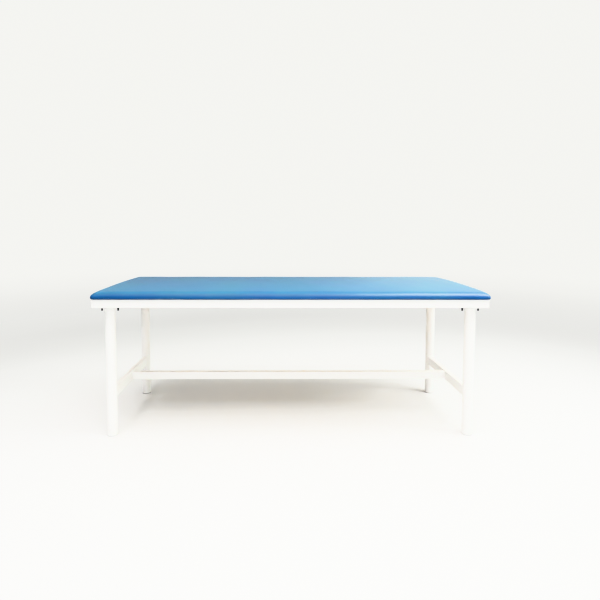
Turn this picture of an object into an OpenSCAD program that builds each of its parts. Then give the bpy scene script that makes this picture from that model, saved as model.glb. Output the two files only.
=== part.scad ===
// Examination table: a flat padded top on a white steel frame with four round legs.
// Origin on the floor under the middle of the table, X along its length, Y to the rear, Z up.

/* [Padded top] */
// Length of the padded top
pad_l = 1900; // [1700:10:2100]
// Width of the padded top
pad_w = 700; // [600:10:800]
// Plan radius of the padded top's corners
pad_corner_r = 26; // [26:1:60]
// Thickness of the blue cover
cover_t = 1; // [0.8:0.1:1.4]
// Thickness of the foam at the shoulder
foam_t = 21; // [16:1:40]
// Rise of the middle of the top above its shoulder
pad_crown = 6; // [2:1:12]
// How far the shoulder pulls in midway between two corners
side_draw = 3; // [0:0.5:6]
// How far the rounded shoulder runs in from the edge
shoulder_w = 24; // [16:1:40]
// Thickness of the wooden board
board_t = 12; // [10:1:18]
// How far the turned-under cover reaches past the frame rail
hem_past_rail = 14; // [12:1:30]

/* [Frame] */
// Outer width and height of the square rails
rail_w = 40; // [36:1:50]
// Wall of the rails
rail_wall = 1.5; // [1.2:0.1:3]
// How far the frame stands in from the edge of the padded top
rail_inset = 9; // [5:1:15]
// Thickness of the plates that close the long rails' ends
rail_plate_t = 1.5; // [1:0.1:3]
// Outer width and height of the square cross bars
bar_w = 30; // [25:1:35]
// Wall of the cross bars
bar_wall = 1.2; // [1:0.1:2]
// Distance between two neighbouring cross bars
bar_pitch = 470; // [350:10:520]
// Outer radius of every rectangular tube's long edges
tube_edge_r = 2.5; // [2:0.1:4]
// Thickness of the corner plates
corner_plate_t = 4; // [3:0.5:6]
// Metal of a corner plate past its stud
corner_margin = 18; // [14:1:30]
// Bevel across a corner plate's free corner
corner_bevel = 20; // [5:1:25]

/* [Legs] */
// Length of the leg tubes
leg_l = 635; // [450:5:800]
// Outer diameter of the leg tubes
leg_d = 50; // [40:1:60]
// Wall of the leg tubes
leg_wall = 1.5; // [1.2:0.1:3]
// Thickness of the flange plates on the legs
flange_t = 4; // [3:0.5:8]
// Metal of a flange plate past its stud holes
flange_margin = 11; // [10:0.5:14]
// Plan radius of the flange plates' corners
flange_corner_r = 8; // [2:1:10]
// Distance between the two studs of a flange
stud_pitch = 78; // [74:1:90]
// Distance from the frame's ends to the outer studs
stud_edge = 24; // [18:1:30]
// Distance from the long sides of the frame to the leg axes
leg_inset = 63; // [60:1:80]
// Thickness of a foot cap under its leg tube
foot_t = 4; // [3:0.5:8]
// Depth of a foot cap's plug in its leg tube
foot_plug_l = 25; // [15:1:40]
// Wall of a foot cap's plug
foot_wall = 2; // [1.5:0.1:3]
// Radius of a foot cap's lower edge
foot_edge_r = 1.5; // [0.5:0.1:2.5]

/* [Stretchers] */
// Height of the stretchers' centre line above the floor
stretcher_z = 206; // [120:1:350]
// Width of the end stretchers
end_stretcher_w = 25; // [20:1:30]
// Height of the end stretchers
end_stretcher_h = 50; // [44:1:60]
// Width of the long stretcher
long_stretcher_w = 25; // [22:1:30]
// Height of the long stretcher
long_stretcher_h = 40; // [38:1:44]
// Wall of the stretchers
stretcher_wall = 1.5; // [1.2:0.1:2]
// Thickness of the plates in the long stretcher's ends
stretcher_plate_t = 3; // [2:0.5:5]
// Distance between the two bolts at each end of the long stretcher
stretcher_bolt_pitch = 18; // [16:0.5:19]

/* [Bolts and nuts] */
// Thread diameter of the bolts and studs
bolt_d = 8; // [7:0.5:8]
// Width across the flats of the bolts' heads and of the nuts
hex_af = 13; // [12:0.5:13]
// Height of the bolts' heads
head_t = 5.3; // [4:0.1:6]
// Length of the studs under the frame
stud_l = 25; // [18:1:35]
// Thread that a stretcher bolt shows past its nut
bolt_past_nut = 3; // [1:0.5:6]
// Bevel at the tip of a bolt or screw
tip_bevel = 1; // [0.5:0.1:1.5]
// Diameter of the bolts' and studs' washers
washer_d = 16; // [15:0.5:17]
// Thickness of all washers
washer_t = 1.6; // [1:0.1:2]
// Height of the nuts
nut_t = 6.5; // [5:0.5:8]
// Outer diameter of the spacer sleeves in the end stretchers
sleeve_d = 13; // [11:0.5:14]

/* [Board screws and staples] */
// Thread diameter of the screws that hold the board
screw_d = 6; // [5:0.5:6]
// Diameter of the screws' heads
screw_head_d = 12; // [10:0.5:13]
// Height of the screws' heads
screw_head_t = 3.6; // [3:0.1:5]
// Diameter of the screws' washers
screw_washer_d = 18; // [15:1:20]
// Distance between the two screws of a cross bar
screw_span = 420; // [300:10:480]
// Flange diameter of the tee nuts
tee_flange_d = 19; // [16:1:22]
// Flange thickness of the tee nuts
tee_flange_t = 1.5; // [1:0.1:2]
// Barrel diameter of the tee nuts
tee_barrel_d = 8; // [7.5:0.1:9]
// Barrel length of the tee nuts
tee_barrel_l = 8; // [6:0.5:9]
// Width of the cover staples
staple_w = 10; // [8:1:14]
// Length of the cover staples' legs
staple_leg = 8; // [5:1:9]
// Width of the staples' wire
staple_wire_w = 1.2; // [0.8:0.1:1.6]
// Thickness of the staples' wire
staple_wire_t = 0.6; // [0.4:0.1:0.8]
// Distance between two staples
staple_pitch = 60; // [40:5:90]
// Distance from the rail's inner face to the row of staples
staple_past_rail = 6; // [4:0.5:8]

/* [Hidden] */
// Gap round a bolt or screw in its clearance hole
bolt_gap = 0.5;
// Gap between a thread and its nut
thread_gap = 0.1;
// Gap round a foot cap's plug, which its ribs fill
plug_gap = 0.6;
// Gap between the cover and what it wraps
soft_gap = 0.4;
// How far a cut runs past the face that it opens
overrun = 1;
// Smallest corner radius
tight_r = 0.4;
// Number of ribs on a foot cap's plug
plug_ribs = 3;
// Width of a rib on a foot cap's plug
plug_rib_w = 1.5;
// Share of a screw's head that its rounded edge takes
head_round_share = 0.5;
// Half the width of the level strip along the middle of the padded top
spine_half = 20;
// Facets along a corner, a long side, a short side, the crown, the shoulder and the lower edge
corner_steps = 6;
long_side_steps = 6;
short_side_steps = 4;
crown_steps = 3;
shoulder_steps = 5;
edge_steps = 2;
// Signs of the corners, counted anticlockwise from the right rear one
corner_signs = [[1, 1], [-1, 1], [-1, -1], [1, -1]];
// Facets of each side, counted from the rear one
side_steps = [long_side_steps, short_side_steps, long_side_steps, short_side_steps];
// Colours
paint = [0.95, 0.95, 0.93];
blue = [0.16, 0.45, 0.75];
wood = [0.78, 0.62, 0.42];
foam = [0.93, 0.88, 0.66];
black_steel = [0.09, 0.09, 0.1];
zinc = [0.72, 0.74, 0.76];
cap_grey = [0.86, 0.86, 0.84];
$fn = 48;

// Plan of the frame
frame_l = pad_l - 2 * rail_inset;
frame_w = pad_w - 2 * rail_inset;
long_rail_l = frame_l - 2 * rail_plate_t;
long_rail_y = (frame_w - rail_w) / 2;
end_rail_l = frame_w - 2 * rail_w;
end_rail_x = (frame_l - rail_w) / 2;
inner_x = frame_l / 2 - rail_w;
inner_y = frame_w / 2 - rail_w;

// Plan of the legs
leg_x = frame_l / 2 - stud_edge - stud_pitch / 2;
leg_y = frame_w / 2 - leg_inset;
flange_l = stud_pitch + 2 * flange_margin;
corner_plate_l = stud_edge + stud_pitch - rail_w + corner_margin;

// Heights
leg_top = foot_t + leg_l;
rail_z = leg_top + flange_t;
rail_mid_z = rail_z + rail_w / 2;
rail_top = rail_z + rail_w;
board_z = rail_top + cover_t;
board_top = board_z + board_t;
bar_z = rail_top - bar_w;

// Section of the padded top, measured from its edge and up from the rails
cover_edge_r = cover_t + soft_gap;
shoulder_foot = cover_t + board_t;
shoulder_h = foam_t + cover_t;
spine_inset = pad_w / 2 - spine_half;
hem_w = rail_inset + rail_w + hem_past_rail;
staple_inset = rail_inset + rail_w + staple_past_rail;

// Fasteners
hex_d = hex_af / cos(30);
bolt_hole_d = bolt_d + 2 * bolt_gap;
thread_hole_d = bolt_d + 2 * thread_gap;
screw_hole_d = screw_d + 2 * bolt_gap;
screw_thread_hole_d = screw_d + 2 * thread_gap;
screw_l = washer_t + bar_w + cover_t + board_t - tee_flange_t;
stretcher_bolt_l = washer_t + end_stretcher_w + stretcher_plate_t + nut_t + bolt_past_nut;
sleeve_l = end_stretcher_w - 2 * stretcher_wall;
long_stretcher_l = 2 * leg_x - end_stretcher_w;

// Rectangle with round corners, centred
module rounded_rect(w, h, r) {
    square([w - 2 * r, h], center = true);
    square([w, h - 2 * r], center = true);
    for (x = [-1, 1], y = [-1, 1])
        translate([x * (w / 2 - r), y * (h / 2 - r)])
            circle(r);
}

// Section of a rectangular tube
module tube_section(w, h, wall) {
    difference() {
        rounded_rect(w, h, tube_edge_r);
        rounded_rect(w - 2 * wall, h - 2 * wall, max(tube_edge_r - wall, tight_r));
    }
}

// Rectangular tube along X, centred
module tube_x(l, w, h, wall) {
    rotate([90, 0, 90])
        linear_extrude(l, center = true)
            tube_section(w, h, wall);
}

// Rectangular tube along Y, centred
module tube_y(l, w, h, wall) {
    rotate([90, 0, 0])
        linear_extrude(l, center = true)
            tube_section(w, h, wall);
}

// Hole along Z from the origin up through a wall of thickness t
module through_hole(d, t) {
    translate([0, 0, -overrun])
        cylinder(d = d, h = t + 2 * overrun);
}

// Flat ring on the plane z = 0
module ring_plate(d, hole_d, t) {
    difference() {
        cylinder(d = d, h = t);
        through_hole(hole_d, t);
    }
}

// Corner c of a rounded rectangle, as the centre of its arc
function corner_centre(c, half_l, half_w, r) =
    [corner_signs[c % 4][0] * (half_l - r), corner_signs[c % 4][1] * (half_w - r)];

// Point at the angle a on the circle of radius r round a centre
function on_arc(centre, r, a) = centre + r * [cos(a), sin(a)];

// One closed ring of points round the padded top, its sides drawn in by pull at mid length
function ring(inset, height, pull) =
    let (
        half_l = pad_l / 2 - inset,
        half_w = pad_w / 2 - inset,
        r = max(pad_corner_r - inset, tight_r)
    )
    [
        for (c = [0:3])
            let (
                centre = corner_centre(c, half_l, half_w, r),
                start = on_arc(centre, r, 90 * (c + 1)),
                end = on_arc(corner_centre(c + 1, half_l, half_w, r), r, 90 * (c + 1)),
                inward = -[cos(90 * (c + 1)), sin(90 * (c + 1))],
                arc = [for (i = [0:corner_steps]) on_arc(centre, r, 90 * (c + i / corner_steps))],
                side = [
                    for (i = [1:side_steps[c] - 1])
                        let (share = i / side_steps[c])
                            start * (1 - share) + end * share + inward * pull * 4 * share * (1 - share)
                ]
            )
            for (p = concat(arc, side)) [p[0], p[1], rail_top + height]
    ];

// Crown and shoulder of the padded top, depth under its skin, as [inset, height, pull]
function upper_section(depth) = concat(
    [
        for (i = [0:crown_steps - 1])
            let (share = i / crown_steps)
                [
                    spine_inset + (shoulder_w - spine_inset) * share,
                    shoulder_foot + shoulder_h - depth + pad_crown * (1 - share * share),
                    side_draw * share
                ]
    ],
    [
        for (i = [0:shoulder_steps])
            let (a = 90 * i / shoulder_steps)
                [
                    shoulder_w - (shoulder_w - depth) * sin(a),
                    shoulder_foot + (shoulder_h - depth) * cos(a),
                    side_draw * cos(a)
                ]
    ]
);

// Lower edge of the cover and its turned-under hem, depth under its skin, as [inset, height, pull]
function lower_section(depth) = concat(
    [
        for (i = [0:edge_steps])
            let (a = 90 * i / edge_steps)
                [
                    cover_edge_r - (cover_edge_r - depth) * cos(a),
                    cover_edge_r - (cover_edge_r - depth) * sin(a),
                    0
                ]
    ],
    [[hem_w, depth, 0]]
);

// A list in reverse order
function reversed(list) = [for (i = [len(list) - 1:-1:0]) list[i]];

// Closed solid through a list of sections, with a pole on the axis above or below each end ring
module ring_solid(section) {
    rings = [for (s = section) ring(s[0], s[1], s[2])];
    n = len(rings[0]);
    last = len(rings) - 1;
    first_pole = [0, 0, rings[0][0][2]];
    last_pole = [0, 0, rings[last][0][2]];
    points = concat([first_pole], [for (r = rings) for (p = r) p], [last_pole]);
    bands = [
        for (i = [0:last - 1], k = [0:n - 1])
            let (
                a = 1 + i * n + k,
                b = 1 + i * n + (k + 1) % n,
                c = b + n,
                d = a + n
            )
            for (triangle = [[a, b, c], [a, c, d]]) triangle
    ];
    first_fan = [for (k = [0:n - 1]) [0, 1 + (k + 1) % n, 1 + k]];
    last_fan = [
        for (k = [0:n - 1])
            [1 + (last + 1) * n, 1 + last * n + k, 1 + last * n + (k + 1) % n]
    ];
    polyhedron(points, concat(first_fan, bands, last_fan));
}

// Cover: the skin over the foam and the board's edge, turned under the board
module pad_cover() {
    color(blue)
        ring_solid(concat(
            upper_section(0),
            lower_section(0),
            reversed(lower_section(cover_t)),
            reversed(upper_section(cover_t))
        ));
}

// Foam between the board and the cover
module foam_pad() {
    color(foam)
        ring_solid(upper_section(cover_t + soft_gap));
}

// Places the children at the frame screws of the cross bars
module at_board_screws() {
    for (bar = [-1:1], y = [-1, 1])
        translate([bar * bar_pitch, y * screw_span / 2, 0])
            children();
}

// Wooden board with the tee nuts' holes
module top_board() {
    gap = cover_t + soft_gap;
    color(wood)
        difference() {
            translate([0, 0, board_z])
                linear_extrude(board_t)
                    rounded_rect(pad_l - 2 * gap, pad_w - 2 * gap, pad_corner_r - gap);
            at_board_screws() {
                translate([0, 0, board_z])
                    through_hole(tee_barrel_d, board_t);
                translate([0, 0, board_top - tee_flange_t])
                    cylinder(d = tee_flange_d, h = tee_flange_t + overrun);
            }
        }
}

// One staple along X: its crown under the cover's hem and two legs up into the board
module staple() {
    translate([0, 0, rail_top]) {
        translate([-staple_w / 2, -staple_wire_w / 2, -staple_wire_t])
            cube([staple_w, staple_wire_w, staple_wire_t]);
        for (end = [-1, 1])
            translate([end * (staple_w - staple_wire_t) / 2, 0, (staple_leg - staple_wire_t) / 2])
                cube([staple_wire_t, staple_wire_w, staple_leg + staple_wire_t], center = true);
    }
}

// Places along a row of a given length, centred and a pitch apart
function row_places(length) =
    let (gaps = floor(length / staple_pitch))
    [for (i = [0:gaps]) (i - gaps / 2) * length / gaps];

// True where a staple would meet a cross bar
function on_bar(x) =
    min([for (bar = [-1:1]) abs(x - bar * bar_pitch)]) < bar_w / 2 + staple_w;

// Staples of the cover's hem, just inside the rails
module cover_staples() {
    row_x = pad_l / 2 - staple_inset;
    row_y = pad_w / 2 - staple_inset;
    color(zinc) {
        for (x = row_places(2 * row_x - 2 * staple_w), side = [-1, 1])
            if (!on_bar(x))
                translate([x, side * row_y, 0])
                    staple();
        for (y = row_places(2 * row_y - 4 * staple_w), side = [-1, 1])
            translate([side * row_x, y, 0])
                rotate([0, 0, 90])
                    staple();
    }
}

// Threaded shank with a bevelled tip, up from the origin
module shank(d, length) {
    cylinder(d = d, h = length - tip_bevel);
    translate([0, 0, length - tip_bevel])
        cylinder(d1 = d, d2 = d - 2 * tip_bevel, h = tip_bevel);
}

// Pan-head screw with its head below the origin
module pan_screw(length) {
    round_t = screw_head_t * head_round_share;
    shank(screw_d, length);
    translate([0, 0, round_t - screw_head_t])
        cylinder(d = screw_head_d, h = screw_head_t - round_t);
    translate([0, 0, -screw_head_t])
        cylinder(d1 = screw_head_d - 2 * round_t, d2 = screw_head_d, h = round_t);
}

// Screws that hold the board, up through the cross bars
module board_screws() {
    color(zinc)
        at_board_screws()
            translate([0, 0, bar_z - washer_t])
                pan_screw(screw_l);
}

// Washers under the board screws' heads
module board_screw_washers() {
    color(zinc)
        at_board_screws()
            translate([0, 0, bar_z - washer_t])
                ring_plate(screw_washer_d, screw_hole_d, washer_t);
}

// Tee nuts let into the top of the board
module board_tee_nuts() {
    color(zinc)
        at_board_screws()
            difference() {
                union() {
                    translate([0, 0, board_top - tee_flange_t])
                        cylinder(d = tee_flange_d, h = tee_flange_t);
                    translate([0, 0, board_top - tee_flange_t - tee_barrel_l])
                        cylinder(d = tee_barrel_d, h = tee_barrel_l);
                }
                translate([0, 0, board_top - tee_flange_t - tee_barrel_l])
                    through_hole(screw_thread_hole_d, tee_barrel_l + tee_flange_t);
            }
}

// Long rail, side is -1 at the front and 1 at the rear
module long_rail(side) {
    color(paint)
        translate([0, side * long_rail_y, rail_mid_z])
            tube_x(long_rail_l, rail_w, rail_w, rail_wall);
}

// End rail between the long rails, side is -1 at the left and 1 at the right
module end_rail(side) {
    color(paint)
        translate([side * end_rail_x, 0, rail_mid_z])
            tube_y(end_rail_l, rail_w, rail_w, rail_wall);
}

// Plates that close the long rails' ends
module rail_end_plates() {
    color(paint)
        for (x = [-1, 1], y = [-1, 1])
            translate([x * (frame_l - rail_plate_t) / 2, y * long_rail_y, rail_mid_z])
                rotate([90, 0, 90])
                    linear_extrude(rail_plate_t, center = true)
                        rounded_rect(rail_w, rail_w, tube_edge_r);
}

// Cross bar under the board, place is -1, 0 or 1 from left to right
module cross_bar(place) {
    color(paint)
        difference() {
            translate([place * bar_pitch, 0, rail_top - bar_w / 2])
                tube_y(end_rail_l, bar_w, bar_w, bar_wall);
            for (y = [-1, 1])
                translate([place * bar_pitch, y * screw_span / 2, bar_z])
                    through_hole(screw_hole_d, bar_w);
        }
}

// Plate in an inner corner of the frame, over the leg's flange, which holds the inner stud
module corner_plate(x, y) {
    outline = [
        [0, 0],
        [corner_plate_l, 0],
        [corner_plate_l, corner_plate_l - corner_bevel],
        [corner_plate_l - corner_bevel, corner_plate_l],
        [0, corner_plate_l]
    ];
    color(paint)
        translate([x * inner_x, y * inner_y, rail_z])
            linear_extrude(corner_plate_t)
                polygon([for (p = outline) [-x * p[0], -y * p[1]]]);
}

// Hexagonal nut on the plane z = 0
module hex_nut() {
    difference() {
        cylinder(d = hex_d, h = nut_t, $fn = 6);
        through_hole(thread_hole_d, nut_t);
    }
}

// Hexagon bolt with its head below the origin
module hex_bolt(length) {
    shank(bolt_d, length);
    translate([0, 0, -head_t])
        intersection() {
            cylinder(d = hex_d, h = head_t, $fn = 6);
            cylinder(d1 = hex_af, d2 = hex_af + 2 * head_t * tan(60), h = head_t);
        }
}

// Places the children at the studs, one each side of every leg, on the underside of the frame
module at_flange_studs() {
    for (x = [-1, 1], y = [-1, 1], step = [-1, 1])
        translate([x * leg_x + step * stud_pitch / 2, y * leg_y, rail_z])
            children();
}

// Studs welded under the end rails and the corner plates
module flange_studs() {
    color(black_steel)
        at_flange_studs()
            rotate([180, 0, 0])
                shank(bolt_d, stud_l);
}

// Washers on the studs, under the flanges
module flange_washers() {
    color(black_steel)
        at_flange_studs()
            translate([0, 0, -flange_t - washer_t])
                ring_plate(washer_d, bolt_hole_d, washer_t);
}

// Nuts on the studs, which hold the leg flanges to the frame
module flange_nuts() {
    color(black_steel)
        at_flange_studs()
            translate([0, 0, -flange_t - washer_t - nut_t])
                hex_nut();
}

// Flange plate on the leg at a corner
module leg_flange(x, y) {
    color(paint)
        translate([x * leg_x, y * leg_y, leg_top])
            difference() {
                linear_extrude(flange_t)
                    rounded_rect(flange_l, flange_l, flange_corner_r);
                for (step = [-1, 1])
                    translate([step * stud_pitch / 2, 0, 0])
                        through_hole(bolt_hole_d, flange_t);
            }
}

// Leg tube at a corner
module leg(x, y) {
    color(paint)
        translate([x * leg_x, y * leg_y, foot_t])
            ring_plate(leg_d, leg_d - 2 * leg_wall, leg_l);
}

// Half section of a foot cap: the sole, its rounded edge, and the ribbed plug in the leg tube
module foot_section() {
    sole_r = leg_d / 2;
    plug_r = sole_r - leg_wall - plug_gap;
    square([sole_r - foot_edge_r, foot_t]);
    translate([0, foot_edge_r])
        square([sole_r, foot_t - foot_edge_r]);
    translate([sole_r - foot_edge_r, foot_edge_r])
        circle(foot_edge_r);
    translate([plug_r - foot_wall, foot_t])
        square([foot_wall, foot_plug_l]);
    for (rib = [1:plug_ribs])
        translate([plug_r - foot_wall, foot_t + rib * foot_plug_l / (plug_ribs + 1)])
            square([foot_wall + plug_gap, plug_rib_w]);
}

// Foot cap pressed into the leg at a corner
module foot_cap(x, y) {
    color(cap_grey)
        translate([x * leg_x, y * leg_y, 0])
            rotate_extrude()
                foot_section();
}

// Places the children at the long stretcher's bolts, on the end stretchers' outer faces with Z inwards
module at_stretcher_bolts() {
    for (x = [-1, 1], row = [-1, 1])
        translate([
            x * (leg_x + end_stretcher_w / 2),
            0,
            stretcher_z + row * stretcher_bolt_pitch / 2
        ])
            rotate([0, -x * 90, 0])
                children();
}

// End stretcher, its ends cut to the round legs, side is -1 at the left and 1 at the right
module end_stretcher(side) {
    color(paint)
        difference() {
            translate([side * leg_x, 0, stretcher_z])
                tube_y(2 * leg_y, end_stretcher_w, end_stretcher_h, stretcher_wall);
            for (y = [-1, 1])
                translate([side * leg_x, y * leg_y, foot_t])
                    cylinder(d = leg_d, h = leg_l);
            at_stretcher_bolts()
                through_hole(bolt_hole_d, end_stretcher_w);
        }
}

// Long stretcher between the end stretchers
module long_stretcher() {
    color(paint)
        translate([0, 0, stretcher_z])
            tube_x(long_stretcher_l, long_stretcher_w, long_stretcher_h, stretcher_wall);
}

// Plates welded in the long stretcher's ends
module stretcher_end_plates() {
    color(paint)
        difference() {
            for (x = [-1, 1])
                translate([x * (long_stretcher_l - stretcher_plate_t) / 2, 0, stretcher_z])
                    rotate([90, 0, 90])
                        linear_extrude(stretcher_plate_t, center = true)
                            rounded_rect(
                                long_stretcher_w - 2 * stretcher_wall,
                                long_stretcher_h - 2 * stretcher_wall,
                                max(tube_edge_r - stretcher_wall, tight_r)
                            );
            at_stretcher_bolts()
                translate([0, 0, end_stretcher_w])
                    through_hole(bolt_hole_d, stretcher_plate_t);
        }
}

// Nuts welded behind the long stretcher's end plates
module stretcher_weld_nuts() {
    color(zinc)
        at_stretcher_bolts()
            translate([0, 0, end_stretcher_w + stretcher_plate_t])
                hex_nut();
}

// Bolts through the end stretchers into the long stretcher
module stretcher_bolts() {
    color(black_steel)
        at_stretcher_bolts()
            translate([0, 0, -washer_t])
                hex_bolt(stretcher_bolt_l);
}

// Washers under the stretcher bolts' heads
module stretcher_washers() {
    color(black_steel)
        at_stretcher_bolts()
            translate([0, 0, -washer_t])
                ring_plate(washer_d, bolt_hole_d, washer_t);
}

// Sleeves that keep the bolts from crushing the end stretchers
module stretcher_sleeves() {
    color(zinc)
        at_stretcher_bolts()
            translate([0, 0, stretcher_wall])
                ring_plate(sleeve_d, bolt_hole_d, sleeve_l);
}

pad_cover();
foam_pad();
top_board();
cover_staples();
board_screws();
board_screw_washers();
board_tee_nuts();
long_rail(-1);  // front_rail
long_rail(1);  // rear_rail
end_rail(-1);  // left_end_rail
end_rail(1);  // right_end_rail
rail_end_plates();
cross_bar(-1);  // left_cross_bar
cross_bar(0);  // middle_cross_bar
cross_bar(1);  // right_cross_bar
corner_plate(-1, -1);  // front_left_corner_plate
corner_plate(1, -1);  // front_right_corner_plate
corner_plate(-1, 1);  // rear_left_corner_plate
corner_plate(1, 1);  // rear_right_corner_plate
flange_studs();
flange_nuts();
flange_washers();
leg_flange(-1, -1);  // front_left_flange
leg_flange(1, -1);  // front_right_flange
leg_flange(-1, 1);  // rear_left_flange
leg_flange(1, 1);  // rear_right_flange
leg(-1, -1);  // front_left_leg
leg(1, -1);  // front_right_leg
leg(-1, 1);  // rear_left_leg
leg(1, 1);  // rear_right_leg
foot_cap(-1, -1);  // front_left_foot_cap
foot_cap(1, -1);  // front_right_foot_cap
foot_cap(-1, 1);  // rear_left_foot_cap
foot_cap(1, 1);  // rear_right_foot_cap
end_stretcher(-1);  // left_end_stretcher
end_stretcher(1);  // right_end_stretcher
long_stretcher();
stretcher_end_plates();
stretcher_weld_nuts();
stretcher_bolts();
stretcher_washers();
stretcher_sleeves();
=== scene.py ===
import math

import bpy
import numpy as np
from mathutils import Matrix, Vector


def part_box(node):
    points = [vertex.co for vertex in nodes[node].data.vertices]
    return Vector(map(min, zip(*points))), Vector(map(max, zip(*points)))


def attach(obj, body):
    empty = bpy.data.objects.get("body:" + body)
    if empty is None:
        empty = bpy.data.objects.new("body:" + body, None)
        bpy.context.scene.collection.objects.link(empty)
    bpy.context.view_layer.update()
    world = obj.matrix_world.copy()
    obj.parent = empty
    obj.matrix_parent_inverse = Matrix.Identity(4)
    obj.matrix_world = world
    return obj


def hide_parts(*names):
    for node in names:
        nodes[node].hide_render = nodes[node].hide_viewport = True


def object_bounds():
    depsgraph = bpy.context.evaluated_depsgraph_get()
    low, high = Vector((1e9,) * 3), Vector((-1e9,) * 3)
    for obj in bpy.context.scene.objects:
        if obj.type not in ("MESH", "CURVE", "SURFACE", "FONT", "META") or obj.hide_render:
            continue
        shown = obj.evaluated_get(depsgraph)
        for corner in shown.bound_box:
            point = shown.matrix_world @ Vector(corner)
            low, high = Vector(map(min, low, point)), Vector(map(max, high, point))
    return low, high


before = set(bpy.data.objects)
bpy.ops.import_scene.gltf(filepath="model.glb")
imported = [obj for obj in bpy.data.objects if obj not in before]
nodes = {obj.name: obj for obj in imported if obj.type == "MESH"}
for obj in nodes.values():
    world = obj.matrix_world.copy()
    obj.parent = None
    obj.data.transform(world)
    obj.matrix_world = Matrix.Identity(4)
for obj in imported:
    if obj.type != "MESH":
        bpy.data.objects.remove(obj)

# The imported table: its nodes carry the real sizes, and every place below is read from them.
# All of it is rigid, and each piece made below rides on the one body, root.
cad_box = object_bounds()
scene = bpy.context.scene


# Camera: it stands in front of the table, a little left of its middle and above the padded top,
# and looks slightly down on it. The picture is cut from a larger one, so its axis is off centre.
camera_place = (-0.0585, -2.3973, 1.0194)
camera_yaw = math.radians(0.593)
camera_pitch = math.radians(3.497)
camera_roll = math.radians(0.124)
image_px = 600
focal_px = 438.8
axis_px = (283.5, 255.0)
sensor_width = 36.0
picture_gamma = 0.88

camera_data = bpy.data.cameras.new("camera")
camera_data.sensor_width = sensor_width
camera_data.lens = sensor_width * focal_px / image_px
camera_data.shift_x = 0.5 - axis_px[0] / image_px
camera_data.shift_y = axis_px[1] / image_px - 0.5
camera = bpy.data.objects.new("camera", camera_data)
camera.matrix_world = (
    Matrix.Translation(camera_place)
    @ Matrix.Rotation(-camera_yaw, 4, "Z")
    @ Matrix.Rotation(math.pi / 2 - camera_pitch, 4, "X")
    @ Matrix.Rotation(camera_roll, 4, "Z")
)
scene.collection.objects.link(camera)
scene.camera = camera
scene.view_settings.view_transform = "Khronos PBR Neutral"
scene.view_settings.gamma = picture_gamma


# Soft studio light: a pale room that is brighter to the right and dim in front, a wide lamp over the
# table and two smaller ones. The room looks the same to the camera everywhere, only its light is uneven.
# A lamp's row is its name, place, target, two sides, spread in degrees, watts, and if gloss shows it.
room_seen = (1.30, 1.30, 1.26, 1)
room_dim = (0.73, 0.68, 0.68, 1)
room_bright = (2.00, 2.12, 1.96, 1)
room_front = (0.40, 0.38, 0.42, 1)
room_rise = (0.0, 0.5)
front_fall = (-0.95, -0.15)
lamps = [
    ("lamp_above", (0.3, -1.5, 3.2), (0.3, -1.2, 0.0), (4.4, 2.2), 90, 200, False),
    ("lamp_in_front", (0.5, -3.3, 1.9), (0.0, 0.0, 0.3), (2.8, 1.6), 180, 70, False),
    ("lamp_to_the_right", (2.2, -0.5, 3.0), (0.85, -0.35, 0.7), (1.1, 2.6), 180, 190, True),
]


def put(tree, kind, inputs=None, **settings):
    """Adds a node to a tree. A socket among its inputs is linked, and any other value is set."""
    made = tree.nodes.new("ShaderNode" + kind)
    for name, value in settings.items():
        setattr(made, name, value)
    for name, value in (inputs or {}).items():
        if isinstance(value, bpy.types.NodeSocket):
            tree.links.new(value, made.inputs[name])
        else:
            made.inputs[name].default_value = value
    return made


def maths(tree, operation, *values, clamp=False):
    """Result of one step of arithmetic on numbers or sockets."""
    return put(tree, "Math", dict(enumerate(values)), operation=operation, use_clamp=clamp).outputs[0]


def mixed(tree, share, first, second):
    """Colour that goes from the first to the second as the share goes from 0 to 1.
    A Mix node has one set of sockets for each kind of data, so its colour sockets go by number."""
    share_socket, first_colour, second_colour, colour_result = 0, 6, 7, 2
    inputs = {share_socket: share, first_colour: first, second_colour: second}
    return put(tree, "Mix", inputs, data_type="RGBA").outputs[colour_result]


def ramp(tree, value, low, high):
    """Smooth step from 0, where the value is at low, to 1, where it is at high."""
    inputs = {"Value": value, "From Min": low, "From Max": high}
    return put(tree, "MapRange", inputs, interpolation_type="SMOOTHSTEP").outputs["Result"]


room = bpy.data.worlds.new("room")
room.use_nodes = True
room_tree = room.node_tree
room_tree.nodes.clear()
direction = put(room_tree, "TexCoord").outputs["Generated"]
aside = put(room_tree, "SeparateXYZ", {0: direction}).outputs
sides = mixed(room_tree, ramp(room_tree, aside["X"], *room_rise), room_dim, room_bright)
light_colour = mixed(room_tree, ramp(room_tree, aside["Y"], *front_fall), room_front, sides)
seen = put(room_tree, "LightPath").outputs["Is Camera Ray"]
room_colour = mixed(room_tree, seen, light_colour, room_seen)
background = put(room_tree, "Background", {"Color": room_colour})
put(room_tree, "OutputWorld", {"Surface": background.outputs[0]})
scene.world = room

for name, place, target, (width, depth), spread, power, mirrored in lamps:
    lamp_data = bpy.data.lights.new(name, "AREA")
    lamp_data.shape = "RECTANGLE"
    lamp_data.size = width
    lamp_data.size_y = depth
    lamp_data.spread = math.radians(spread)
    lamp_data.energy = power
    lamp = bpy.data.objects.new(name, lamp_data)
    aim = (Vector(target) - Vector(place)).to_track_quat("-Z", "Y").to_matrix().to_4x4()
    lamp.matrix_world = Matrix.Translation(place) @ aim
    lamp.visible_camera = False
    lamp.visible_glossy = mirrored
    scene.collection.objects.link(lamp)
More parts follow.
